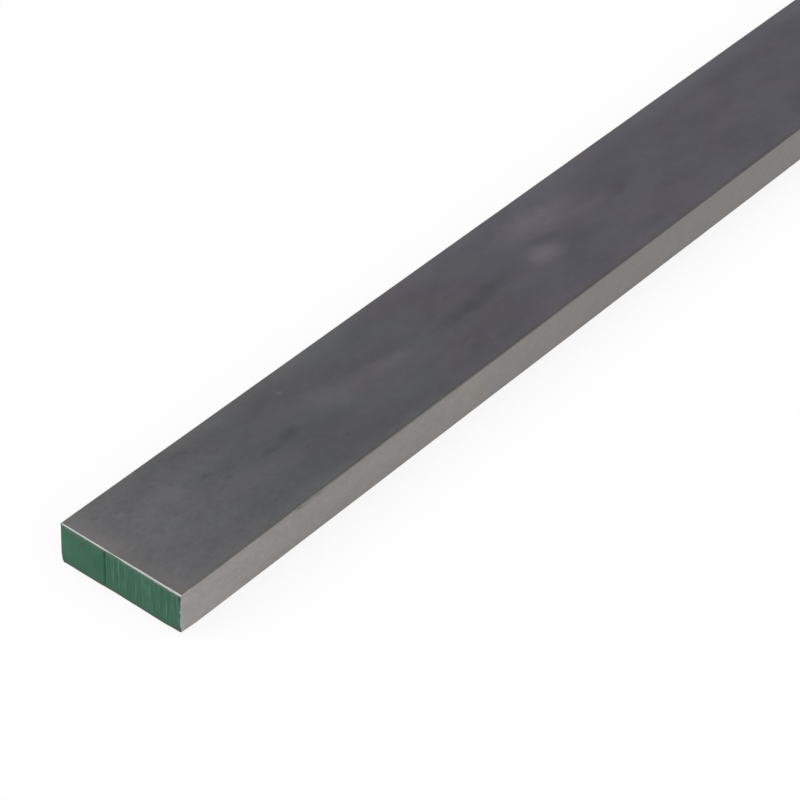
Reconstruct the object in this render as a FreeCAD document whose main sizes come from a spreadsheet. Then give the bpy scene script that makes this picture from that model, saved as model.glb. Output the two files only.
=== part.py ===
import FreeCAD, Part
import Sketcher
import os

# A length of precision ground flat bar, with the colour of its grade painted on one end.
# The frame: +X runs along the bar away from the painted end, +Y across its width and +Z up.
# The bar lies on its broad face, and the origin is the middle of that face.
# All sizes are in millimetres.

# Each driving dimension: its alias, its value and what it is on the real bar
SIZES = (
    ("bar_length", 500.0, "length as sold"),
    ("bar_width", 25.0, "ground width"),
    ("bar_thickness", 8.0, "ground thickness"),
    ("long_edge_break", 0.2, "leg of the 45 degree break along the four long edges"),
    ("end_edge_break", 0.2, "leg of the 45 degree break round both sawn ends"),
    ("paint_film", 0.05, "thickness of the dried paint"),
    ("paint_lip_height", 0.01, "height of the paint's lower lip over the face that the bar rests on"),
)

# How much the leg of a 45 degree break grows for each unit that its faces are offset outwards
LEG_GROWTH = "(2 - sqrt(2))"

# Two lengths or positions closer than this are the same
SAME = 1e-6

PARTS_FOLDER = "parts"


def make_sheet(document):
    """The spreadsheet that holds the driving dimensions."""
    sheet = document.addObject("Spreadsheet::Sheet", "Sizes")
    for row, (alias, value, meaning) in enumerate(SIZES, start=1):
        sheet.set(f"A{row}", alias)
        sheet.set(f"B{row}", str(value))
        sheet.set(f"C{row}", meaning)
        sheet.setAlias(f"B{row}", alias)
    document.recompute()


def bind_constraint(sketch, constraint, name, expression):
    """Add a named constraint to the sketch and drive it with the expression."""
    index = sketch.addConstraint(constraint)
    sketch.renameConstraint(index, name)
    sketch.setExpression(f"Constraints.{name}", expression)


def add_section(body, width, thickness):
    """A rectangle across the bar, centred on the width, with its lower side on the body's XY plane."""
    planes = {plane.Role: plane for plane in body.Origin.OriginFeatures}
    sketch = body.newObject("Sketcher::SketchObject", f"{body.Name}_section")
    sketch.AttachmentSupport = [(planes["YZ_Plane"], "")]
    sketch.MapMode = "FlatFace"

    corners = [FreeCAD.Vector(x, y, 0) for x, y in ((-1, 0), (1, 0), (1, 1), (-1, 1))]
    count = len(corners)
    for index in range(count):
        sketch.addGeometry(Part.LineSegment(corners[index], corners[(index + 1) % count]), False)
    start, end = 1, 2
    for index in range(count):
        sketch.addConstraint(Sketcher.Constraint("Coincident", index, end, (index + 1) % count, start))
    lower, right, upper, left = range(count)
    horizontal_axis, vertical_axis = -1, -2
    sketch.addConstraint(Sketcher.Constraint("Symmetric", lower, start, lower, end, vertical_axis))
    sketch.addConstraint(Sketcher.Constraint("PointOnObject", lower, start, horizontal_axis))
    sketch.addConstraint(Sketcher.Constraint("Horizontal", upper))
    for side in (right, left):
        sketch.addConstraint(Sketcher.Constraint("Vertical", side))
    bind_constraint(sketch, Sketcher.Constraint("DistanceX", lower, start, lower, end, 2), "width", width)
    bind_constraint(sketch, Sketcher.Constraint("DistanceY", right, start, right, end, 1), "height", thickness)
    return sketch


def edges_where(shape, wanted):
    """The names of the shape's edges whose box satisfies the test."""
    return [f"Edge{number}" for number, edge in enumerate(shape.Edges, start=1) if wanted(edge.BoundBox)]


def break_edges(body, base, name, wanted, leg):
    """Chamfer the wanted edges of the base feature with one leg length."""
    chamfer = body.newObject("PartDesign::Chamfer", f"{body.Name}_{name}")
    chamfer.Base = (base, edges_where(base.Shape, wanted))
    chamfer.setExpression("Size", leg)
    body.Document.recompute()
    return chamfer


def make_bar(document, name, grown):
    """A flat bar with broken edges, whose faces all lie the given distance outside the real ones."""
    body = document.addObject("PartDesign::Body", name)
    body.Label = name
    section = add_section(body, f"Sizes.bar_width + 2 * {grown}", f"Sizes.bar_thickness + 2 * {grown}")
    blank = body.newObject("PartDesign::Pad", f"{name}_blank")
    blank.Profile = section
    blank.setExpression("Length", f"Sizes.bar_length + 2 * {grown}")
    document.recompute()

    long_edges = break_edges(
        body, blank, "long_edges",
        lambda box: box.XLength > SAME,
        f"Sizes.long_edge_break + {LEG_GROWTH} * {grown}",
    )
    break_edges(
        body, long_edges, "end_edges",
        lambda box: box.XLength < SAME,
        f"Sizes.end_edge_break + {LEG_GROWTH} * {grown}",
    )
    body.setExpression("Placement.Base.x", f"-Sizes.bar_length / 2 - {grown}")
    body.setExpression("Placement.Base.z", f"-({grown})")
    document.recompute()
    return body


def make_end_paint(document, bar):
    """The paint on the -X end: it covers the end face and runs on over two of the edge breaks.

    The upper break and the one on the -Y side stay bare.
    """
    skin = make_bar(document, "paint_skin", "Sizes.paint_film")

    reach = document.addObject("Part::Box", "paint_reach")
    lap = "(Sizes.end_edge_break - sqrt(2) * Sizes.paint_film - Sizes.paint_lip_height)"
    reach.setExpression("Length", f"Sizes.paint_film + {lap}")
    reach.setExpression("Width", "Sizes.bar_width + Sizes.paint_film - Sizes.end_edge_break")
    reach.setExpression("Height", "Sizes.bar_thickness + Sizes.paint_film - Sizes.end_edge_break")
    reach.setExpression("Placement.Base.x", "-Sizes.bar_length / 2 - Sizes.paint_film")
    reach.setExpression("Placement.Base.y", "Sizes.end_edge_break - Sizes.bar_width / 2")
    reach.setExpression("Placement.Base.z", "-Sizes.paint_film")

    coat = document.addObject("Part::Common", "paint_coat")
    coat.Base = skin
    coat.Tool = reach
    paint = document.addObject("Part::Cut", "end_paint")
    paint.Base = coat
    paint.Tool = bar
    paint.Label = "end_paint"
    document.recompute()
    return paint


def check_document(document, parts):
    """Stop unless every object computed and every part is one valid solid."""
    for item in document.Objects:
        if {"Invalid", "Error"} & set(item.State):
            raise RuntimeError(f"{item.Name} did not compute: {item.State}")
    for part in parts:
        shape = part.Shape
        if shape.isNull() or not shape.isValid() or len(shape.Solids) != 1:
            raise RuntimeError(f"{part.Label} is not one valid solid")


def write_parts(parts):
    """One STEP file for each part, named after it."""
    os.makedirs(PARTS_FOLDER, exist_ok=True)
    for part in parts:
        part.Shape.exportStep(os.path.join(PARTS_FOLDER, f"{part.Label}.step"))
        box = part.Shape.BoundBox
        print(
            f"{part.Label}: {box.XLength:.3f} x {box.YLength:.3f} x {box.ZLength:.3f} mm,"
            f" lowest point {box.ZMin:.3f} mm, {part.Shape.Volume:.3f} mm3"
        )


def main():
    document = FreeCAD.newDocument("flat_bar")
    make_sheet(document)
    bar = make_bar(document, "flat_bar", "0")
    paint = make_end_paint(document, bar)
    parts = (bar, paint)
    check_document(document, parts)
    write_parts(parts)


main()
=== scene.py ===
import math

import bmesh
import bpy
from mathutils import Matrix, Vector, noise


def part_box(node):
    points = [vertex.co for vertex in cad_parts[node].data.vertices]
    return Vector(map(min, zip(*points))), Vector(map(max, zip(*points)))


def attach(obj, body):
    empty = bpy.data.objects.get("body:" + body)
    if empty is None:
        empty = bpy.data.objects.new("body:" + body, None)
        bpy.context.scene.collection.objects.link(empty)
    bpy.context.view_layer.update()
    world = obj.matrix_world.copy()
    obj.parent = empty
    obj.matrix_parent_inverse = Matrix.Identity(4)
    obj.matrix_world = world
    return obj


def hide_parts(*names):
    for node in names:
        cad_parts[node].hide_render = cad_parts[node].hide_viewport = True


# A length of precision ground flat bar, with green paint on the sawn end nearest the camera.
# Units are metres, in the row's frame: +X along the bar away from the painted end, +Z up.

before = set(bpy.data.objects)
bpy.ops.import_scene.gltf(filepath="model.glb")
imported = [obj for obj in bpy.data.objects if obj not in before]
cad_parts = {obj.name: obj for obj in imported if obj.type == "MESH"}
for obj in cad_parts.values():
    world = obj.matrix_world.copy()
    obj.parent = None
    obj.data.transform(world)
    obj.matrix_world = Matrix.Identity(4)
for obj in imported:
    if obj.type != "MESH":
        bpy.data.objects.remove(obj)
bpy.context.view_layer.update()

MM = 0.001

# The bar and its paint, from the frame
BAR_LOW, BAR_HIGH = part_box("flat_bar")
FILM = BAR_LOW.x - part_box("end_paint")[0].x
HALF_WIDTH = (BAR_HIGH.y - BAR_LOW.y) / 2
HALF_THICKNESS = (BAR_HIGH.z - BAR_LOW.z) / 2
MIDDLE_HEIGHT = BAR_LOW.z + HALF_THICKNESS
PAINTED, BARE = -1, 1

# Broken edges: the leg, and the outline of a break as shares of its leg, from one face to the other
LEG, LONGEST_LEG = 0.2 * MM, 0.5 * MM
BREAK_OUTLINE = (
    (0.0, 1.6), (0.0, 1.25), (0.045, 1.0), (0.22, 0.78),
    (0.78, 0.22), (1.0, 0.045), (1.25, 0.0), (1.6, 0.0),
)

# The lines of points on an end: close to its edges, and a step apart between them
EDGE_LINES = tuple(MM * line for line in (
    0.012, 0.05, 0.09, 0.13, 0.17, 0.21, 0.26, 0.33, 0.42, 0.54, 0.68, 0.85,
))
STEP_ACROSS, STEP_THROUGH = 0.075 * MM, 0.16 * MM

# The rings of points round the bar: near an end, and then a step apart
NEAR_END = tuple(MM * back for back in (0.95, 1.2, 1.5, 1.9, 2.5, 3.2))
RING_STEP = 1.6 * MM

# Corners of the painted end that are filed or knocked off flat. Each row has the side, and how far the
# flat reaches from the corner along the bar, across it and up it.
KNOCKS = (
    (1, 0.40 * MM, 0.36 * MM, 3.2 * MM),
    (1, 2.5 * MM, 0.7 * MM, 1.25 * MM),
    (-1, 6.0 * MM, 0.42 * MM, 0.50 * MM),
)

# Chips out of the paint's upper edge and bites out of its right one: where each is, its half width and
# how far it reaches in. Where the paint reaches further out than usual, that is below 0.
CHIPS = tuple((place * MM, half * MM, depth * MM) for place, half, depth in (
    (7.19, 0.18, 0.20), (3.3, 0.12, 0.10), (-1.24, 0.30, 0.20),
    (-4.4, 0.14, 0.10), (-7.15, 0.22, 0.24), (-10.09, 0.18, 0.20), (1.0, 1.0, -0.10),
))
BITES = tuple((place * MM, half * MM, depth * MM) for place, half, depth in (
    (4.45, 0.26, 0.22), (2.75, 0.30, 0.15), (2.0, 0.30, 0.12), (5.3, 0.12, 0.06), (6.2, 0.35, 0.06),
))

# The saw's marks: how deep the broad and the fine ones are, how they lean, and the groove it left
SAW_BROAD, SAW_FINE, SAW_LEAN = 0.018 * MM, 0.022 * MM, 0.03
GROOVE_Y, GROOVE_WIDTH, GROOVE_DEPTH = 3.25 * MM, 0.16 * MM, 0.18 * MM

# The numbers of the section's upper corners
UPPER_LEFT, UPPER_RIGHT = 0, 1


def smooth_step(value):
    """0 below 0, 1 above 1 and an easy slope between them."""
    value = min(max(value, 0.0), 1.0)
    return value * value * (3 - 2 * value)


def rise(place, start, length):
    """0 up to the start, and from there an easy climb to 1. A length below 0 climbs the other way."""
    return smooth_step((place - start) / length)


def hump(place, centre, half_width):
    """1 at the centre, falling to a third of that at the half width."""
    return math.exp(-(((place - centre) / half_width) ** 2))


def ripple(x, y=0.0, z=0.0):
    """Smooth noise from about -1 to 1, at a place given in the noise's own units."""
    return noise.noise(Vector((x, y, z)))


# The bar's shape

def end_x(end):
    """Where an end's face lies along the bar."""
    return BAR_LOW.x if end == PAINTED else BAR_HIGH.x


def long_leg(corner, x):
    """The leg of one long edge's break at a place along the bar: uneven, as a hand file leaves it."""
    seed = 17.3 * corner
    leg = LEG * (1 + 0.16 * ripple(x / (9 * MM), seed) + 0.08 * ripple(x / (2.3 * MM), seed + 5))
    from_end = x - BAR_LOW.x
    if corner == UPPER_LEFT:
        leg *= 0.65
    if corner == UPPER_RIGHT:
        leg *= 0.5 + 0.1 * rise(from_end, 12 * MM, 8 * MM)
        leg += 0.7 * LEG * rise(from_end, 40 * MM, 45 * MM)
        leg += 0.12 * MM * hump(from_end, 30 * MM, 3 * MM)
    return leg


def near_top(z):
    """1 at the top of an end, falling to 0 a little below it."""
    return rise(z, BAR_HIGH.z - 1.2 * MM, 1.2 * MM)


def near_bottom(z):
    """1 at the bottom of an end, falling to 0 a little above it."""
    return rise(z, BAR_LOW.z + 1.7 * MM, -1.2 * MM)


def end_leg(y, z, end):
    """The leg of an end's break at a place round its outline. The painted end's is thin at the top and
    the left, and worn large at the bottom."""
    seed = 31.7 * (end + 1) + (7.9 if z > MIDDLE_HEIGHT else 0.0)
    leg = LEG * (1 + 0.10 * ripple(y / (3.1 * MM), z / (3.1 * MM), seed))
    leg += LEG * 0.05 * ripple(y / (0.6 * MM), z / (0.6 * MM), seed + 3)
    if end == PAINTED:
        top = near_top(z)
        leftness = (y + HALF_WIDTH) / (2 * HALF_WIDTH)
        leg *= 1 + 0.12 * top * hump(y, -3.4 * MM, 2.4 * MM)
        leg *= 1 - top * (0.09 + 0.33 * leftness + 0.36 * hump(y, 1.4 * MM, 1.9 * MM))
        leg *= 1 - 0.5 * (1 - top) * rise(y, HALF_WIDTH - 1.2 * MM, MM)
        bulge = 0.3 * rise(y, 6 * MM, -4 * MM) + 0.35 * hump(y, -MM, 4 * MM)
        bulge += 0.75 * rise(y, 3.5 * MM - HALF_WIDTH, -3 * MM)
        leg *= 1 + near_bottom(z) * (0.24 + bulge)
    return min(leg, LONGEST_LEG)


def end_lean(z, end):
    """How much further an end's break reaches down the face than back along the bar, as a share."""
    return 0.45 * near_top(z) if end == PAINTED else 0.0


def knock(point, lift=0.0):
    """The point moved in to the flats on the painted end's corners, or to a coat of paint on them."""
    for side, along, across, up in KNOCKS:
        inwards = Vector((1 / along, -side / across, 1 / up))
        from_corner = point - Vector((BAR_LOW.x, side * HALF_WIDTH, BAR_LOW.z))
        depth = (1 - inwards.dot(from_corner)) / inwards.length - lift
        if depth > 0:
            point = point + inwards.normalized() * depth
    return point


def saw_column(y, z):
    """A place's distance across the end, measured along marks that lean as the saw's do."""
    return y + SAW_LEAN * (z - MIDDLE_HEIGHT)


def saw_strength(y):
    """How strong the saw's marks are on the painted end: much weaker left of the groove."""
    return 0.2 + 0.8 * rise(y, GROOVE_Y, -0.4 * MM)


def saw_relief(y, z, end):
    """How far the saw cut into the end at a place on its face, away from its edges."""
    from_edge = min(HALF_WIDTH - abs(y), HALF_THICKNESS - abs(z - MIDDLE_HEIGHT))
    start = BREAK_OUTLINE[0][1] * end_leg(y, z, end) * (1 + end_lean(z, end))
    inside = min(max((from_edge - start) / (EDGE_LINES[-1] - start), 0.0), 1.0)
    column = saw_column(y, z)
    broad = 0.5 + 0.5 * ripple(column / (1.9 * MM), z / (14 * MM), 3.0 + end)
    fine = 0.5 + 0.8 * ripple(column / (0.3 * MM), z / (3.5 * MM), 8.0 + end)
    relief = SAW_BROAD * broad + SAW_FINE * fine
    if end == PAINTED:
        relief *= saw_strength(y)
        relief += GROOVE_DEPTH * hump(y, GROOVE_Y, GROOVE_WIDTH)
    return relief * inside


def end_lines(half, step):
    """The places of an end's lines from one edge to the other, from the middle between them."""
    inner = half - EDGE_LINES[-1]
    count = round(2 * inner / step)
    middle = [inner * (1 - 2 * index / count) for index in range(count + 1)]
    edge = [half - line for line in EDGE_LINES[:-1]]
    return edge + middle + [-place for place in reversed(edge)]


# The lines over a whole end, and which of them lie inside its breaks
LINES_ACROSS = end_lines(HALF_WIDTH, STEP_ACROSS)
LINES_THROUGH = end_lines(HALF_THICKNESS, STEP_THROUGH)
CAP = slice(len(EDGE_LINES) - 1, 1 - len(EDGE_LINES))


def section(x, fine):
    """(y, z, kept) round the bar's section. A coarse section has only the kept places of a fine one."""
    places = []
    corners = ((1, 1), (-1, 1), (-1, -1), (1, -1))
    counts = (len(LINES_ACROSS[CAP]), len(LINES_THROUGH[CAP])) * 2
    outlines = []
    for corner, (side, lid) in enumerate(corners):
        leg = long_leg(corner, x)
        outline = BREAK_OUTLINE if side * lid > 0 else BREAK_OUTLINE[::-1]
        outlines.append([
            (side * (HALF_WIDTH - leg * across), MIDDLE_HEIGHT + lid * (HALF_THICKNESS - leg * down))
            for across, down in outline
        ])
    for corner, outline in enumerate(outlines):
        places += [(y, z, True) for y, z in outline]
        start, stop = outline[-1], outlines[(corner + 1) % len(outlines)][0]
        steps = counts[corner] - 1
        for step in range(1, steps if fine else 1):
            share = step / steps
            y, z = (start[axis] + share * (stop[axis] - start[axis]) for axis in (0, 1))
            places.append((y, z, False))
    return places


# The bar's two kinds of face, as the numbers of their materials
GROUND, SAWN = 0, 1


class Shell:
    """A closed mesh that is built up ring by ring."""

    def __init__(self):
        self.points = []
        self.faces = []
        self.kinds = []

    def add(self, places):
        """Adds points and gives their numbers."""
        first = len(self.points)
        self.points += [tuple(place) for place in places]
        return list(range(first, len(self.points)))

    def face(self, numbers, kind=GROUND):
        """Adds one face between these points."""
        self.faces.append(numbers)
        self.kinds.append(kind)

    def band(self, one, other):
        """Faces between two rings with as many points."""
        count = len(one)
        for index in range(count):
            after = (index + 1) % count
            self.face((one[index], one[after], other[after], other[index]))

    def merge_band(self, fine, kept, coarse):
        """Faces between a fine ring and a coarse one that holds the kept points of the fine one."""
        marks = [index for index, keep in enumerate(kept) if keep]
        count = len(marks)
        for order, start in enumerate(marks):
            stop = marks[(order + 1) % count]
            run = fine[start:stop + 1] if stop > start else fine[start:] + fine[:stop + 1]
            self.face((*run, coarse[(order + 1) % count], coarse[order]))

    def to_object(self, name, materials):
        """A smooth shaded object with these materials, its faces looking outwards."""
        mesh = bpy.data.meshes.new(name)
        mesh.from_pydata(self.points, [], self.faces)
        for material in materials:
            mesh.materials.append(material)
        mesh.polygons.foreach_set("material_index", self.kinds)
        mesh.validate()
        turned = bmesh.new()
        turned.from_mesh(mesh)
        bmesh.ops.recalc_face_normals(turned, faces=turned.faces)
        turned.to_mesh(mesh)
        turned.free()
        mesh.shade_smooth()
        made = bpy.data.objects.new(name, mesh)
        bpy.context.scene.collection.objects.link(made)
        return made


def end_rings(shell, end):
    """The rings of one end from its face back to the plain bar, and the last one's kept points."""
    face_x = end_x(end)
    places = section(face_x, fine=True)
    rings = []
    for inward, sideways in BREAK_OUTLINE:
        ring = []
        for y, z, _ in places:
            leg, lean = end_leg(y, z, end), end_lean(z, end)
            down = sideways * leg * (1 + lean)
            across = min(abs(y), HALF_WIDTH - down)
            up = min(abs(z - MIDDLE_HEIGHT), HALF_THICKNESS - down)
            ring.append(knock(Vector((
                face_x - end * inward * leg * (1 - lean),
                math.copysign(across, y),
                MIDDLE_HEIGHT + math.copysign(up, z - MIDDLE_HEIGHT),
            ))))
        rings.append(shell.add(ring))
    for back in NEAR_END:
        x = face_x - end * back
        rings.append(shell.add(knock(Vector((x, y, z))) for y, z, _ in section(x, fine=True)))
    for one, other in zip(rings, rings[1:]):
        shell.band(one, other)
    close_end(shell, end, rings[0])
    return rings[-1], [kept for _, _, kept in places]


def close_end(shell, end, ring):
    """The end face inside its first ring, as a grid that carries the marks of the saw."""
    face_x = end_x(end)
    grid = []
    for y in LINES_ACROSS[CAP]:
        heights = [MIDDLE_HEIGHT + up for up in LINES_THROUGH[CAP]]
        grid.append(shell.add(
            knock(Vector((face_x - end * saw_relief(y, z, end), y, z))) for z in heights
        ))
    for one, other in zip(grid, grid[1:]):
        for row in range(len(one) - 1):
            shell.face((one[row], one[row + 1], other[row + 1], other[row]), SAWN)

    # The grid's edges in the order of the ring, which has a corner before each of them
    edges = (
        [line[0] for line in grid], grid[-1],
        [line[-1] for line in reversed(grid)], grid[0][::-1],
    )
    corner_points = len(BREAK_OUTLINE)
    position = 0
    for edge in edges:
        corner = ring[position:position + corner_points]
        for one, other in zip(corner, corner[1:]):
            shell.face((edge[0], one, other), SAWN)
        start = position + corner_points - 1
        run = [ring[(start + step) % len(ring)] for step in range(len(edge))]
        for step in range(len(edge) - 1):
            shell.face((run[step], run[step + 1], edge[step + 1], edge[step]), SAWN)
        position = start + len(edge) - 1


def make_bar(ground, sawn):
    """The bar: both ends with their breaks and saw marks, and the long faces between them."""
    shell = Shell()
    near, kept = end_rings(shell, PAINTED)
    far, _ = end_rings(shell, BARE)
    start = BAR_LOW.x + NEAR_END[-1]
    span = BAR_HIGH.x - NEAR_END[-1] - start
    count = round(span / RING_STEP)
    rings = []
    for step in range(1, count):
        x = start + span * step / count
        rings.append(shell.add((x, y, z) for y, z, _ in section(x, fine=False)))
    for one, other in zip(rings, rings[1:]):
        shell.band(one, other)
    shell.merge_band(near, kept, rings[0])
    shell.merge_band(far, kept, rings[-1])
    return shell.to_object("ground_bar", (ground, sawn))


# The paint on the end: how deep its inner sheet lies in the bar, how deep the outer one sinks where the
# bar is bare, how wide the paint's edge thins out, the bare strip below the upper break, and how thick
# the film is and how much thicker it gets in a streak
PAINT_ROOT, BARE_DEPTH = 0.13 * MM, 0.11 * MM
PAINT_FEATHER = 0.1 * MM
BARE_STRIP = 0.16 * MM
PAINT_BODY, PAINT_STREAK = 0.72 * FILM, 0.2 * FILM


def paint_edge(y, z):
    """How far inside the paint's ragged upper and right edges a place lies."""
    corner = rise(y, HALF_WIDTH - 0.15 * MM, -0.25 * MM)
    uneven = 1.15 + 0.35 * ripple(y / (0.9 * MM), 40.0) + 0.5 * ripple(y / (0.35 * MM), 44.0)
    upper = end_leg(y, BAR_HIGH.z, PAINTED) * uneven + BARE_STRIP
    upper += sum(depth * hump(y, centre, half) for centre, half, depth in CHIPS)
    right = LEG * (0.85 + 0.2 * ripple(z / (1.3 * MM), 54.0) + 0.25 * ripple(z / (0.4 * MM), 50.0))
    right -= 0.02 * MM * rise(z, BAR_LOW.z + 5.4 * MM, 2.2 * MM)
    right += sum(depth * hump(z - BAR_LOW.z, centre, half) for centre, half, depth in BITES)
    return min(BAR_HIGH.z - z - upper * corner, y + HALF_WIDTH - right)


def paint_thickness(y, z):
    """The film's thickness at a place, below 0 where the bar is bare."""
    cover = smooth_step(0.75 + paint_edge(y, z) / PAINT_FEATHER)
    streak = ripple(saw_column(y, z) / (0.24 * MM), z / (3.2 * MM), 60.0)
    body = PAINT_BODY + PAINT_STREAK * streak * saw_strength(y)
    return body * cover - BARE_DEPTH * (1 - cover)


def paint_points(y, up):
    """The film's outer and inner point at a place across the end and up from its middle."""
    z = MIDDLE_HEIGHT + up
    leg, lean = end_leg(y, z, PAINTED), end_lean(z, PAINTED)
    from_side, from_lid = HALF_WIDTH - abs(y), HALF_THICKNESS - abs(up)
    steep = (1 - lean) / (1 + lean)
    surface = BAR_LOW.x + steep * max(0.0, leg * (1 + lean) - min(from_side, from_lid))
    surface += saw_relief(y, z, PAINTED)
    # Over a long edge's break the film draws in to the break
    over = max(0.0, (leg - from_side - from_lid) / 2)
    place = Vector((surface, y - math.copysign(over, y), z - math.copysign(over, up)))
    thickness = paint_thickness(y, z)
    outer = knock(place - Vector((thickness, 0, 0)), thickness)
    inner = knock(place + Vector((PAINT_ROOT, 0, 0)), -PAINT_ROOT)
    return outer, inner


def make_paint(material):
    """The paint as a thin closed film that follows the end face and its lower and left breaks."""
    shell = Shell()
    outer, inner = [], []
    for y in LINES_ACROSS:
        outer_line, inner_line = zip(*(paint_points(y, up) for up in LINES_THROUGH))
        outer.append(shell.add(outer_line))
        inner.append(shell.add(inner_line))
    for column in range(len(outer) - 1):
        for row in range(len(outer[0]) - 1):
            for sheet, facing in ((outer, 1), (inner, -1)):
                quad = (
                    sheet[column][row], sheet[column][row + 1],
                    sheet[column + 1][row + 1], sheet[column + 1][row],
                )
                shell.face(quad[::facing])
    shell.band(rim(inner), rim(outer))
    return shell.to_object("green_end_paint", (material,))


def rim(sheet):
    """The points round a sheet's edge."""
    return (
        sheet[0] + [line[-1] for line in sheet[1:]]
        + sheet[-1][-2::-1] + [line[0] for line in sheet[-2:0:-1]]
    )


# Materials. Places on the bar are in millimetres: from the painted end, from the middle and up.

# Marks on a face: where, half their length and width, their turn in degrees and how much lighter they are
TOP_MARKS = (
    (7.2, 6.8, 1.3, 0.8, 20, 0.14), (2.9, -1.8, 1.6, 0.5, 30, 0.10), (14.7, -5.8, 0.7, 0.4, 0, 0.12),
    (3.9, -7.9, 1.2, 0.5, 0, 0.12), (24.0, 9.8, 3.0, 0.6, 3, -0.12), (22.8, 2.8, 2.2, 0.7, 4, -0.17),
    (19.2, 3.3, 1.2, 0.5, 0, -0.10), (13.4, 3.4, 1.5, 0.6, 10, -0.11), (23.5, -0.5, 1.2, 0.5, 0, -0.10),
    (19.4, -0.9, 1.3, 0.6, 5, -0.11), (27.0, 1.4, 1.4, 0.5, 0, -0.12), (9.0, 0.3, 2.5, 1.7, 10, -0.12),
    (9.0, 6.3, 1.1, 0.6, 0, -0.10), (17.5, -4.1, 1.6, 0.5, -5, -0.10), (20.0, -5.0, 1.0, 0.5, 0, -0.08),
    (19.0, -6.9, 1.1, 0.6, 0, -0.10), (26.0, -4.4, 1.3, 0.6, 0, -0.10), (28.0, -8.0, 1.3, 0.5, 0, -0.09),
    (27.2, 3.7, 1.2, 0.5, 0, -0.09), (39.5, -3.9, 1.0, 0.6, 0, -0.12), (25.0, -7.2, 24.0, 4.4, 0, -0.08),
    (34.6, -0.3, 3.2, 0.9, -4, -0.17), (40.0, 0.2, 4.2, 2.0, -4, -0.20), (46.3, 7.8, 1.1, 0.6, 0, 0.26),
    (52.0, 1.2, 8.5, 4.6, -12, 0.23), (63.0, 0.3, 11.0, 3.1, -5, 0.22), (85.0, -0.8, 13.0, 2.3, -1, -0.19),
    (92.0, 0.4, 5.0, 1.8, 0, -0.12), (81.5, -8.4, 0.6, 1.6, 10, 0.12), (111.5, 6.2, 14.0, 5.4, -4, 0.46),
    (105.8, -0.9, 6.5, 4.0, -10, 0.52), (122.0, 1.5, 8.0, 1.6, -8, 0.10), (130.0, 1.0, 5.0, 2.0, 8, -0.14),
    (26.3, -11.1, 0.5, 0.3, 0, 0.5), (78.0, -6.9, 1.6, 0.7, 0, 0.08), (90.0, -5.6, 14.0, 3.0, 0, -0.10),
    (17.0, 1.5, 8.0, 7.0, 0, 0.04), (9.0, 8.7, 2.6, 1.5, 0, -0.07), (19.0, 9.0, 3.0, 1.4, 0, 0.09),
    (89.0, -3.6, 10.0, 2.2, 0, -0.10), (70.0, -5.0, 11.0, 2.4, 0, -0.06), (19.0, -2.5, 4.0, 2.0, 0, -0.07),
    (1.3, -2.5, 1.2, 2.2, 0, 0.07), (26.0, 5.5, 7.0, 3.0, 0, 0.05),
    (52.0, -11.8, 8.0, 1.0, 0, 0.09), (38.0, -10.3, 7.0, 1.4, 0, -0.10), (52.0, 3.0, 8.0, 4.0, 0, 0.03),
)
# On the side, the two dark marks high up at 28 and 32 mm are painted shade along the wider edge break
# there.
SIDE_MARKS = (
    (15.7, 6.6, 3.0, 0.9, 0, 0.06), (5.6, 1.6, 0.6, 0.35, 0, 0.08), (17.1, 6.2, 0.7, 0.35, 0, 0.09),
    (23.9, 4.4, 0.7, 0.35, 0, 0.08), (20.0, 1.8, 3.4, 0.9, 0, -0.06), (28.3, 7.6, 2.6, 0.32, 0, -0.42),
    (32.4, 7.3, 3.0, 0.5, 3, -0.18), (30.0, 3.5, 3.5, 1.6, 0, -0.04), (41.0, 2.5, 5.0, 1.4, 0, -0.03),
    (0.9, 6.5, 0.9, 1.1, 0, 0.10), (14.5, 3.2, 9.0, 3.8, 0, -0.05), (46.0, 5.0, 14.0, 3.2, 0, 0.04),
    (70.0, 6.4, 12.0, 2.0, 0, 0.07), (2.0, 5.0, 2.5, 3.0, 0, 0.04), (24.0, 1.2, 6.0, 1.2, 0, -0.05),
)
# The first row is painted shade in the saw's groove.
END_MARKS = (
    (4.0, 3.26, 5.4, 0.46, 0, -0.64), (4.5, 4.5, 4.6, 1.7, 0, -0.15), (4.8, 1.96, 2.8, 0.20, 0, -0.14),
    (4.4, 1.42, 3.5, 0.22, 1, 0.26), (3.8, 0.46, 1.5, 0.22, 0, -0.26), (4.2, -3.1, 2.3, 0.20, 1, 0.18),
    (4.6, -4.05, 1.6, 0.20, 1, 0.16), (4.4, -4.75, 4.4, 0.30, 2, 0.10), (4.6, -5.7, 4.0, 0.22, 2, -0.16),
    (5.8, -6.05, 1.9, 0.20, 4, 0.18), (5.0, -8.25, 3.0, 0.22, 3, -0.14), (2.9, -9.42, 2.7, 0.26, 1, 0.34),
    (3.3, -9.95, 2.4, 0.24, 1, -0.22), (3.5, 8.0, 2.6, 2.4, 0, 0.06), (4.0, 11.1, 4.6, 1.9, 0, 0.12),
    (4.4, -4.4, 4.0, 2.0, 0, -0.09), (4.0, 1.6, 3.6, 1.5, 0, -0.05),
)

# How deep a mark reaches into the bar, and how far the marks' outlines are bent out of shape
MARK_DEPTH, BEND = 2.0, 2.4

# The steel's colour near the painted end, painted paler there as painted light, and farther along
STEEL_PAINTED_LIGHT_NEAR_END = (0.340, 0.312, 0.297, 1)
STEEL = (0.247, 0.232, 0.218, 1)

# What the top face's colour is multiplied by, at the painted end and far from it. The first two are a
# painted reflection tint, for the dim sky that the top face mirrors.
TOP_REFLECTION_TINT_AT_END = (0.963, 1.033, 1.005, 1)
TOP_REFLECTION_TINT_FAR_OFF = (0.967, 0.977, 1.070, 1)
WARM_BY_END = (1.03, 0.99, 0.95, 1)
WARM_BY_SIDES = (1.0, 0.995, 0.94, 1)

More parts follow.
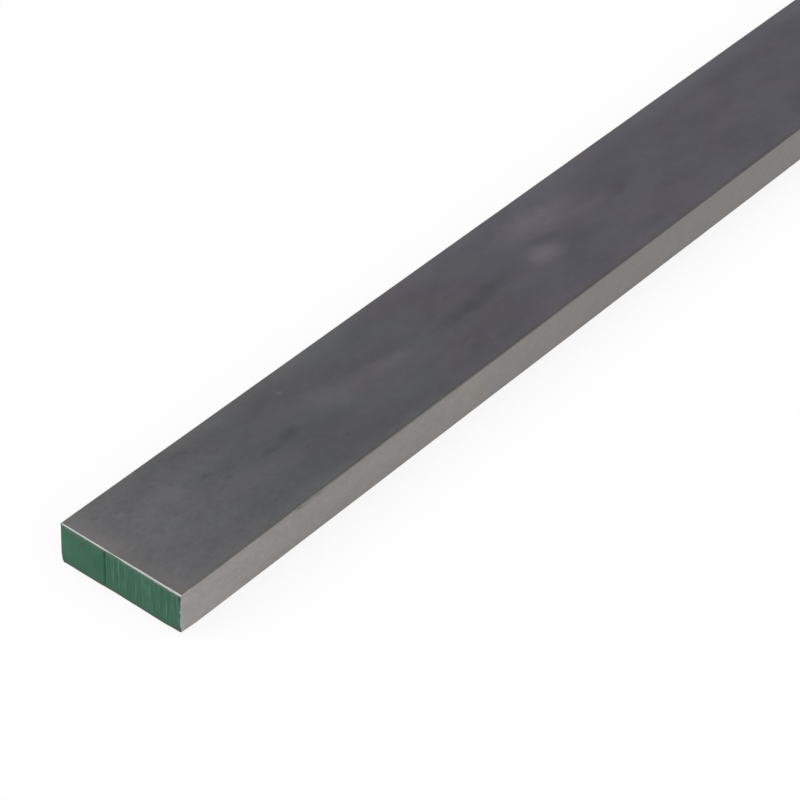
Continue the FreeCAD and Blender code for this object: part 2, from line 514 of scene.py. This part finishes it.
# The two ends of the slow changes in tint, on the top face and on the others
TOP_TINTS = (0.975, 1.01, 1.015, 1), (1.02, 0.985, 1.02, 1)
SIDE_TINTS = (0.985, 1.003, 1.012, 1), (1.02, 1.0, 0.965, 1)
# The warmer tint of the top face's light marks
LIGHT_MARK_TINT = (1.025, 0.988, 0.975, 1)
UNCHANGED = (1, 1, 1, 1)
# The other faces' tint against the top face's: a painted reflection tint
SIDE_REFLECTION_TINT = (0.987, 1.0, 1.022, 1)

PAINT = (0.0181, 0.0948, 0.0520, 1)
DEEP_PAINT = (0.002, 0.052, 0.024, 1)
PALE_PAINT = (0.085, 0.20, 0.135, 1)
DARK_PAINT = (0.014, 0.037, 0.023, 1)
GREY_BROWN_PAINT = (0.056, 0.058, 0.050, 1)
RUBBED_HIGH = (0.078, 0.106, 0.086, 1)
PAINT_STAIN = (0.33, 0.365, 0.342, 1)


class Nodes:
    """The node tree of a material or world, with short ways to add and join nodes."""

    def __init__(self, owner):
        self.owner = owner
        owner.use_nodes = True
        self.tree = owner.node_tree
        self.tree.nodes.clear()

    def add(self, kind, inputs=None, **settings):
        """A node with its settings, and its inputs as values or other nodes' outputs."""
        made = self.tree.nodes.new(kind)
        for name, value in settings.items():
            setattr(made, name, value)
        for name, value in (inputs or {}).items():
            if isinstance(value, bpy.types.NodeSocket):
                self.tree.links.new(value, made.inputs[name])
            else:
                made.inputs[name].default_value = value
        return made

    def math(self, operation, *values):
        """One operation on numbers."""
        return self.add("ShaderNodeMath", dict(enumerate(values)), operation=operation).outputs[0]

    def vector(self, operation, first, second):
        """One operation on two vectors or colours."""
        made = self.add("ShaderNodeVectorMath", {0: first, 1: second}, operation=operation)
        return made.outputs[0]

    def scaled(self, vector, factor):
        """A vector or colour times a number."""
        made = self.add("ShaderNodeVectorMath", {0: vector, "Scale": factor}, operation="SCALE")
        return made.outputs[0]

    def split(self, vector):
        """A vector's three parts."""
        return tuple(self.add("ShaderNodeSeparateXYZ", {0: vector}).outputs)

    def noise(self, place, scale, detail=2.0, roughness=0.5, offset=(0.0, 0.0, 0.0), output="Fac"):
        """Noise about 0.5, with its own number of features to a millimetre along each axis."""
        stretched = self.add("ShaderNodeMapping", {"Vector": place, "Location": offset, "Scale": scale})
        made = self.add(
            "ShaderNodeTexNoise",
            {"Vector": stretched.outputs[0], "Scale": 1.0, "Detail": detail, "Roughness": roughness},
        )
        return made.outputs[output]

    def ramp(self, value, low, high, to_low=0.0, to_high=1.0):
        """The value taken smoothly from one range to another."""
        made = self.add(
            "ShaderNodeMapRange",
            {"Value": value, "From Min": low, "From Max": high, "To Min": to_low, "To Max": to_high},
            interpolation_type="SMOOTHSTEP",
        )
        return made.outputs[0]

    def swing(self, value, amount):
        """Noise about 0.5 as a change in tone about 0."""
        return self.math("MULTIPLY", self.math("SUBTRACT", value, 0.5), amount)

    def mix(self, share, first, second):
        """One number turning into another."""
        return self.add("ShaderNodeMix", {0: share, 2: first, 3: second}).outputs[0]

    def total(self, *values):
        """All the values added up."""
        result = values[0]
        for value in values[1:]:
            result = self.math("ADD", result, value)
        return result

    def product(self, *values):
        """All the values multiplied."""
        result = values[0]
        for value in values[1:]:
            result = self.math("MULTIPLY", result, value)
        return result

    def blend(self, share, first, second):
        """One colour turning into another."""
        made = self.add("ShaderNodeMix", data_type="RGBA")
        for index, value in ((0, share), (6, first), (7, second)):
            if isinstance(value, bpy.types.NodeSocket):
                self.tree.links.new(value, made.inputs[index])
            else:
                made.inputs[index].default_value = value
        return made.outputs[2]

    def millimetres(self):
        """The place on the object in millimetres, from the bottom middle of the painted end."""
        place = self.add("ShaderNodeTexCoord").outputs["Object"]
        return self.scaled(self.vector("SUBTRACT", place, (BAR_LOW.x, 0, BAR_LOW.z)), 1 / MM)

    def spot(self, place, centre, half_size, turn):
        """1 at the middle of an oval mark and 0 outside it."""
        moved = self.add(
            "ShaderNodeMapping",
            {"Vector": place, "Location": centre, "Rotation": turn, "Scale": half_size},
            vector_type="TEXTURE",
        )
        far = self.add("ShaderNodeVectorMath", {0: moved.outputs[0]}, operation="LENGTH")
        return self.ramp(far.outputs["Value"], 1.0, 0.0)

    def marks(self, place, rows, arrange):
        """The change in tone that the marks of one face make together."""
        parts = []
        for *row, lighter in rows:
            parts.append(self.math("MULTIPLY", self.spot(place, *arrange(*row)), lighter))
        return self.total(*parts)

    def finish(self, shader):
        """Joins the shader to the material's output, and gives the material."""
        self.add("ShaderNodeOutputMaterial", {"Surface": shader.outputs[0]})
        return self.owner


_, WIDTH_IN_MM, THICKNESS_IN_MM = (BAR_HIGH - BAR_LOW) / MM


def on_top(x, y, length, width, turn):
    """Where a mark on the top face lies, its size and its turn."""
    return (x, y, THICKNESS_IN_MM), (length, width, MARK_DEPTH), (0, 0, math.radians(turn))


def on_side(x, z, length, width, turn):
    """The same on the right side face."""
    return (x, -WIDTH_IN_MM / 2, z), (length, MARK_DEPTH, width), (0, math.radians(turn), 0)


def on_end(z, y, length, width, turn):
    """The same on the painted end, where a mark's length is upright."""
    return (0, y, z), (MARK_DEPTH, width, length), (math.radians(turn), 0, 0)


class SteelSurface:
    """Where a point of the bar's surface lies, which way it faces, and noise that its looks share."""

    def __init__(self, nodes):
        self.place = nodes.millimetres()
        self.along, self.left, self.height = nodes.split(self.place)
        self.normal = nodes.add("ShaderNodeNewGeometry").outputs["Normal"]
        facing = [nodes.math("ABSOLUTE", part) for part in nodes.split(self.normal)]
        self.lengthwise, self.sideways, self.upright = facing
        self.long_break = nodes.ramp(nodes.product(self.sideways, self.upright), 0.1, 0.42)
        self.end_break = nodes.ramp(nodes.product(self.lengthwise, self.upright), 0.1, 0.42)

        around = nodes.noise(self.place, (0.35, 0.45, 0.45), output="Color")
        shift = nodes.scaled(nodes.vector("SUBTRACT", around, (0.5, 0.5, 0.5)), BEND)
        self.bent = nodes.vector("ADD", self.place, shift)
        self.cloud = nodes.noise(self.bent, (0.07, 0.15, 0.15), 4.0, 0.6, offset=(7.0, 0.0, 2.0))
        self.mottle = nodes.noise(self.bent, (0.45, 0.65, 0.65), 3.0, 0.55, offset=(1.0, 4.0, 0.0))
        self.grain = nodes.noise(self.place, (0.05, 4.5, 4.5), 3.0, 0.6)
        self.grit = nodes.noise(self.place, (1.0, 1.8, 1.8), 2.0, 0.6, offset=(2.0, 6.0, 4.0))
        self.top_marks = nodes.product(nodes.marks(self.bent, TOP_MARKS, on_top), self.upright)


def fleck_tone(nodes, at):
    """Short dark flecks on the broad faces, most of them near the painted end."""
    fleck = nodes.noise(at.place, (0.6, 1.1, 1.1), 1.0, 0.4, offset=(0.0, 5.0, 1.0))
    sparse = nodes.total(nodes.ramp(at.along, 45.0, 10.0, 0.72, 0.64), nodes.swing(at.mottle, 0.25))
    flecks = nodes.ramp(nodes.math("SUBTRACT", fleck, sparse), 0.0, 0.12, 0.0, -0.09)
    return nodes.product(flecks, at.upright)


def painted_edge_light_and_shade(nodes, at):
    """Painted light and shade along the edges: a side face is painted darker along its edges. The top face
    is painted lighter there and at the painted end, but for a thin painted dark line along its right edge."""
    from_left = nodes.math("SUBTRACT", WIDTH_IN_MM / 2, at.left)
    from_right = nodes.math("ADD", WIDTH_IN_MM / 2, at.left)
    from_top = nodes.math("SUBTRACT", THICKNESS_IN_MM, at.height)

    far = nodes.ramp(at.along, 18.0, 40.0, 0.15, 1.0)
    left = nodes.product(nodes.ramp(from_left, 5.0, -0.5, 0.0, 0.21), far)
    right = nodes.ramp(from_right, 3.5, 0.5, 0.0, 0.07)
    line = nodes.ramp(from_right, 0.5, 0.2, 0.0, -0.14)
    end = nodes.product(nodes.ramp(at.along, 5.5, 0.3), nodes.ramp(from_right, 0.5, 24.5, 0.0, 0.22))
    top_face = nodes.product(nodes.total(left, right, line, end), at.upright)

    low = nodes.ramp(at.height, 1.8, 0.4, 0.0, -0.05)
    high = nodes.ramp(from_top, 1.6, 0.4, 0.0, -0.02)
    return nodes.total(top_face, nodes.product(nodes.total(low, high), at.sideways))


def break_highlight_and_shade(nodes, at):
    """Painted highlight and shade on the breaks. The ends' breaks are bright, partly as filed bare steel
    and partly as a painted highlight. The long edges' carry a painted highlight at the painted end and
    painted shade far from it.
    """
    near = nodes.ramp(at.along, 1.0, 5.0, 1.6, 1.06)
    far = nodes.ramp(at.along, 30.0, 90.0, 1.0, 0.66)
    long_tone = nodes.mix(at.long_break, 1.0, nodes.product(near, far))
    return nodes.mix(at.end_break, long_tone, 1.70)


def steel_tone(nodes, at):
    """How light the steel is, with painted light and shade along its edges and breaks, and painted shade
    on its sides far from the painted end.
    """
    top_grit = nodes.ramp(at.along, 60.0, 5.0, 0.08, 0.26)
    side_grit = nodes.ramp(at.along, 100.0, 5.0, 0.20, 0.34)
    grit_share = nodes.mix(at.upright, side_grit, top_grit)
    tone = nodes.total(
        1.0, nodes.swing(at.cloud, 0.32), nodes.swing(at.mottle, 0.14), nodes.swing(at.grain, 0.07),
        fleck_tone(nodes, at), painted_edge_light_and_shade(nodes, at), at.top_marks,
        nodes.product(nodes.marks(at.bent, SIDE_MARKS, on_side), at.sideways),
        nodes.product(nodes.swing(at.grit, 1.0), grit_share),
    )
    # Painted light and shade: the top face a little lighter and the sides darker far from the painted end
    top_painted_light = nodes.ramp(at.along, 60.0, 120.0, 1.0, 1.03)
    side_painted_shade = nodes.ramp(at.along, 50.0, 125.0, 1.0, 0.85)
    return nodes.product(tone, nodes.mix(at.upright, side_painted_shade, top_painted_light), break_highlight_and_shade(nodes, at))


def steel_colour(nodes, at):
    """The steel's colour: painted paler near the painted end as painted light, with the top face given a
    painted reflection tint of its own, and slow changes in tint.
    """
    # Painted light: the steel paler near the painted end
    colour = nodes.blend(nodes.ramp(at.along, 44.0, -14.0), STEEL, STEEL_PAINTED_LIGHT_NEAR_END)
    # Painted reflection: the top face's own tint, against the other faces'
    top = nodes.blend(nodes.ramp(at.along, 20.0, 122.0), TOP_REFLECTION_TINT_AT_END, TOP_REFLECTION_TINT_FAR_OFF)
    by_end = nodes.blend(nodes.ramp(at.along, 4.5, 0.5), UNCHANGED, WARM_BY_END)
    from_side = nodes.math("SUBTRACT", WIDTH_IN_MM / 2, nodes.math("ABSOLUTE", at.left))
    by_sides = nodes.blend(nodes.ramp(from_side, 1.9, 0.2), UNCHANGED, WARM_BY_SIDES)
    top = nodes.vector("MULTIPLY", top, nodes.vector("MULTIPLY", by_end, by_sides))
    colour = nodes.vector("MULTIPLY", colour, nodes.blend(at.upright, SIDE_REFLECTION_TINT, top))

    tint = nodes.noise(at.bent, (0.08, 0.17, 0.17), 3.0, offset=(3.0, 8.0, 5.0))
    strength = nodes.ramp(at.along, 15.0, 80.0, 0.3, 1.0)
    share = nodes.total(nodes.swing(nodes.ramp(tint, 0.35, 0.65), strength), 0.5)
    tinted = nodes.blend(
        at.upright, nodes.blend(share, *SIDE_TINTS), nodes.blend(share, *TOP_TINTS)
    )
    warm = nodes.blend(nodes.ramp(at.top_marks, 0.0, 0.25), UNCHANGED, LIGHT_MARK_TINT)
    return nodes.vector("MULTIPLY", colour, nodes.vector("MULTIPLY", tinted, warm))


def paint_haze(nodes, at):
    """How much thin paint stains the steel round the painted end: least high up."""
    reach = nodes.ramp(at.height, 1.0, 7.4, 0.85, 0.3)
    ragged = nodes.swing(nodes.noise(at.place, (0.0, 0.9, 0.9), offset=(0.0, 3.0, 6.0)), 0.5)
    smear = nodes.ramp(nodes.math("SUBTRACT", at.along, nodes.total(reach, ragged)), 0.0, -0.3, 0.0, 0.65)
    on_break = nodes.product(at.end_break, nodes.ramp(at.along, 3.0, 1.0), 0.7)
    return nodes.math("MAXIMUM", smear, on_break)


def ground_steel():
    """Surface ground steel: fine marks along the bar, faint light and dark patches and short dark flecks.
    """
    nodes = Nodes(bpy.data.materials.new("ground_steel"))
    at = SteelSurface(nodes)
    colour = nodes.blend(paint_haze(nodes, at), steel_colour(nodes, at), PAINT_STAIN)
    tangent = nodes.vector("ADD", nodes.vector("CROSS_PRODUCT", (1, 0, 0), at.normal), (0, 0.001, 0))
    bump = nodes.add("ShaderNodeBump", {"Height": at.grain, "Strength": 0.2, "Distance": 0.02 * MM})
    shader = nodes.add(
        "ShaderNodeBsdfPrincipled",
        {
            "Base Color": nodes.scaled(colour, steel_tone(nodes, at)), "Metallic": 1.0,
            "Roughness": nodes.ramp(at.cloud, 0.35, 0.65, 0.36, 0.41),
            "Anisotropic": 0.5, "Tangent": tangent, "Normal": bump.outputs[0],
        },
    )
    return nodes.finish(shader)


def sawn_steel():
    """The bare sawn end: duller than the ground faces, with marks across the thickness."""
    nodes = Nodes(bpy.data.materials.new("sawn_steel"))
    place = nodes.millimetres()
    marks = nodes.noise(place, (1.0, 4.0, 0.25), detail=3.0, roughness=0.6)
    tone = nodes.total(1.0, nodes.swing(marks, 0.6))
    bump = nodes.add("ShaderNodeBump", {"Height": marks, "Strength": 0.4, "Distance": 0.03 * MM})
    shader = nodes.add(
        "ShaderNodeBsdfPrincipled",
        {
            "Base Color": nodes.scaled(STEEL[:3], tone), "Metallic": 1.0,
            "Roughness": nodes.ramp(marks, 0.3, 0.7, 0.38, 0.5), "Normal": bump.outputs[0],
        },
    )
    return nodes.finish(shader)


def paint_streaks(nodes, place, left, height):
    """Streaks where the paint shows the saw marks under it: right of the groove, and most high up."""
    streaks = nodes.noise(place, (0.0, 3.4, 0.11), detail=2.0, roughness=0.65)
    shown = nodes.ramp(nodes.noise(place, (0.0, 0.8, 0.45), offset=(0.0, 6.0, 9.0)), 0.35, 0.6, 0.25, 1.0)
    sawn = nodes.ramp(left, GROOVE_Y / MM, GROOVE_Y / MM - 0.4, 0.26, 1.0)
    high = nodes.ramp(height, 0.8, 4.5, 0.62, 1.0)
    return streaks, nodes.product(nodes.ramp(streaks, 0.36, 0.64, -0.38, 0.38), sawn, high, shown)


def rim_share(nodes, from_edge, ragged):
    """How much of the paint turns to a rim colour, in patches close to an edge."""
    return nodes.ramp(nodes.total(from_edge, ragged), 1.35, 0.1, 0.0, 0.7)


# Places on the paint that differ: the middle and half the size of each
DARK_CORNER = (0, 0.2 - WIDTH_IN_MM / 2, THICKNESS_IN_MM - 0.9), (MARK_DEPTH, 0.85, 2.6)
# The second is painted shade at the top of the saw's groove.
GROOVE_TOP_SHADE = (0, GROOVE_Y / MM, THICKNESS_IN_MM - 0.9), (MARK_DEPTH, 0.5, 1.6)
GREY_BROWN_CORNER = (0, 0.5 - WIDTH_IN_MM / 2, 0.6), (MARK_DEPTH, 1.6, 1.6)
NO_TURN = (0, 0, 0)


def worn_and_shaded(nodes, place, colour, left, height):
    """The paint's colour with its top and side rims worn thin, its lower rim and lower right corner
    grey-brown, painted shade at the top of the saw's groove, and its upper right corner dark.
    """
    ragged = nodes.swing(nodes.noise(place, (0.0, 1.1, 1.1), 3.0, 0.6, offset=(0.0, 1.0, 4.0)), 1.6)
    from_side = nodes.math("SUBTRACT", WIDTH_IN_MM / 2, nodes.math("ABSOLUTE", left))
    from_top = nodes.math("SUBTRACT", THICKNESS_IN_MM, height)
    colour = nodes.blend(rim_share(nodes, height, ragged), colour, GREY_BROWN_PAINT)
    from_rim = nodes.math("MINIMUM", nodes.product(from_side, 2.4), from_top)
    colour = nodes.blend(rim_share(nodes, from_rim, ragged), colour, RUBBED_HIGH)
    low_corner = nodes.product(nodes.spot(place, *GREY_BROWN_CORNER, NO_TURN), 0.7)
    colour = nodes.blend(low_corner, colour, GREY_BROWN_PAINT)
    # Painted shade at the top of the saw's groove
    groove_top_shade = nodes.product(nodes.spot(place, *GROOVE_TOP_SHADE, NO_TURN), 0.75)
    dark = nodes.math("MAXIMUM", nodes.spot(place, *DARK_CORNER, NO_TURN), groove_top_shade)
    return nodes.blend(dark, colour, DARK_PAINT)


def green_paint():
    """Thin green paint that shows the saw marks under it, worn thin round its upper edges and grey-brown
    along its lower one, with painted shade in the saw's groove and along its bottom.
    """
    nodes = Nodes(bpy.data.materials.new("green_paint"))
    place = nodes.millimetres()
    _, left, height = nodes.split(place)
    streaks, streak_tone = paint_streaks(nodes, place, left, height)
    patches = nodes.noise(place, (0.3, 0.35, 0.3), detail=3.0, offset=(0.0, 2.0, 0.0))
    tone = nodes.total(
        1.0, streak_tone, nodes.swing(patches, 0.24), nodes.marks(place, END_MARKS, on_end)
    )
    colour = nodes.blend(tone, DEEP_PAINT, PAINT)
    colour = nodes.blend(nodes.math("SUBTRACT", tone, 1.0), colour, PALE_PAINT)
    colour = worn_and_shaded(nodes, place, colour, left, height)
    # Painted shade: the paint darker along its bottom edge, next to the floor
    colour = nodes.scaled(colour, nodes.ramp(height, 0.12, 0.45, 0.6, 1.0))
    bump = nodes.add("ShaderNodeBump", {"Height": streaks, "Strength": 0.25, "Distance": 0.03 * MM})
    shader = nodes.add(
        "ShaderNodeBsdfPrincipled",
        {
            "Base Color": colour, "Roughness": nodes.ramp(patches, 0.3, 0.7, 0.42, 0.55),
            "Specular IOR Level": 0.2, "Normal": bump.outputs[0],
        },
    )
    return nodes.finish(shader)


# The studio

FLOOR_SIZE = 30.0
FLOOR_COLOUR = (0.95, 0.95, 0.95, 1)

# How much of what the camera and the metal see of the floor is plain white
FLOOR_WHITE = 0.84

# The sky, and its dim part: where the middle of that lies, and the angles over which it fades out there
# and over which the sky turns white near the horizon
SKY_DARK = (0.318, 0.323, 0.376, 1)
SKY_LIGHT = (0.72, 0.72, 0.72, 1)
HORIZON = (1.0, 1.0, 1.0, 1)
DARK_TOWARDS = Vector((0.78, 0.39, 0.49)).normalized()
DARK_INNER, DARK_OUTER = math.radians(5), math.radians(62)
HORIZON_LOW, HORIZON_HIGH = math.radians(5), math.radians(16)

# Each lamp's name, where its light comes from, its strength and how wide it looks, in degrees
LAMPS = (
    ("key_lamp", (-0.633, 0.472, 0.6135), 0.70, 40.0),
    ("fill_lamp", (-0.45, -0.65, 0.61), 0.50, 50.0),
    ("top_lamp", (-0.2, 0.2, 0.96), 0.50, 60.0),
)


def make_floor():
    """A plain pale floor that the bar lies on. What the camera and the metal see of it is part white."""
    nodes = Nodes(bpy.data.materials.new("pale_floor"))
    shade = nodes.add("ShaderNodeBsdfDiffuse", {"Color": FLOOR_COLOUR})
    white = nodes.add("ShaderNodeEmission", {"Strength": 1.0})
    rays = nodes.add("ShaderNodeLightPath").outputs
    seen = nodes.total(*(rays[f"Is {kind} Ray"] for kind in ("Camera", "Glossy", "Transmission")))
    share = nodes.math("MULTIPLY", nodes.math("MINIMUM", seen, 1.0), FLOOR_WHITE)
    both = nodes.add("ShaderNodeMixShader", {0: share, 1: shade.outputs[0], 2: white.outputs[0]})
    half = FLOOR_SIZE / 2
    mesh = bpy.data.meshes.new("floor")
    corners = [(-half, -half, 0), (half, -half, 0), (half, half, 0), (-half, half, 0)]
    mesh.from_pydata(corners, [], [(0, 1, 2, 3)])
    mesh.materials.append(nodes.finish(both))
    floor = bpy.data.objects.new("floor", mesh)
    bpy.context.scene.collection.objects.link(floor)


def make_sky():
    """Soft light from all round: white at the horizon, and dimmer where the top face mirrors it."""
    world = bpy.data.worlds.new("studio")
    bpy.context.scene.world = world
    nodes = Nodes(world)
    towards = nodes.add("ShaderNodeTexCoord").outputs["Generated"]
    facing = nodes.add("ShaderNodeVectorMath", {0: towards, 1: DARK_TOWARDS}, operation="DOT_PRODUCT")
    light = nodes.ramp(facing.outputs["Value"], math.cos(DARK_INNER), math.cos(DARK_OUTER))
    height = nodes.add("ShaderNodeSeparateXYZ", {0: towards}).outputs["Z"]
    low = nodes.ramp(height, math.sin(HORIZON_HIGH), math.sin(HORIZON_LOW))
    colour = nodes.blend(low, nodes.blend(light, SKY_DARK, SKY_LIGHT), HORIZON)
    background = nodes.add("ShaderNodeBackground", {"Color": colour})
    nodes.add("ShaderNodeOutputWorld", {"Surface": background.outputs[0]})


def make_lamps():
    """Large soft lamps, so far off that they light the whole floor alike."""
    for name, towards, strength, spread in LAMPS:
        lamp = bpy.data.lights.new(name, "SUN")
        lamp.energy = strength
        lamp.angle = math.radians(spread)
        made = bpy.data.objects.new(name, lamp)
        made.rotation_mode = "QUATERNION"
        made.rotation_quaternion = Vector(towards).to_track_quat("Z", "Y")
        bpy.context.scene.collection.objects.link(made)


# The camera, placed from the bottom middle of the painted end. The lens and its sensor are in millimetres.

CAMERA_FROM_END = Vector((-273.81, -260.03, 349.40)) * MM
LOOK_AZIMUTH, LOOK_DOWN, ROLL = math.radians(37.25), math.radians(39.306), math.radians(3.031)
LENS, SENSOR_WIDTH = 149.9, 36.0
NEAREST, FARTHEST = 0.01, 100.0


def make_camera():
    """The camera at the photograph's angle."""
    data = bpy.data.cameras.new("camera")
    data.lens = LENS
    data.sensor_width = SENSOR_WIDTH
    data.clip_start, data.clip_end = NEAREST, FARTHEST
    look = Vector((
        math.cos(LOOK_DOWN) * math.cos(LOOK_AZIMUTH),
        math.cos(LOOK_DOWN) * math.sin(LOOK_AZIMUTH),
        -math.sin(LOOK_DOWN),
    ))
    camera = bpy.data.objects.new("camera", data)
    level = look.to_track_quat("-Z", "Y").to_matrix()
    turned = level @ Matrix.Rotation(ROLL, 3, "Z")
    place = Vector((BAR_LOW.x, 0, BAR_LOW.z)) + CAMERA_FROM_END
    camera.matrix_world = Matrix.Translation(place) @ turned.to_4x4()
    bpy.context.scene.collection.objects.link(camera)
    bpy.context.scene.camera = camera


def main():
    """Makes the bar, its paint and the studio."""
    bar = make_bar(ground_steel(), sawn_steel())
    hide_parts("flat_bar")
    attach(bar, "root")

    paint = make_paint(green_paint())
    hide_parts("end_paint")
    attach(paint, "root")

    make_floor()
    make_sky()
    make_lamps()
    make_camera()
    bpy.context.scene.view_settings.view_transform = "Standard"


main()
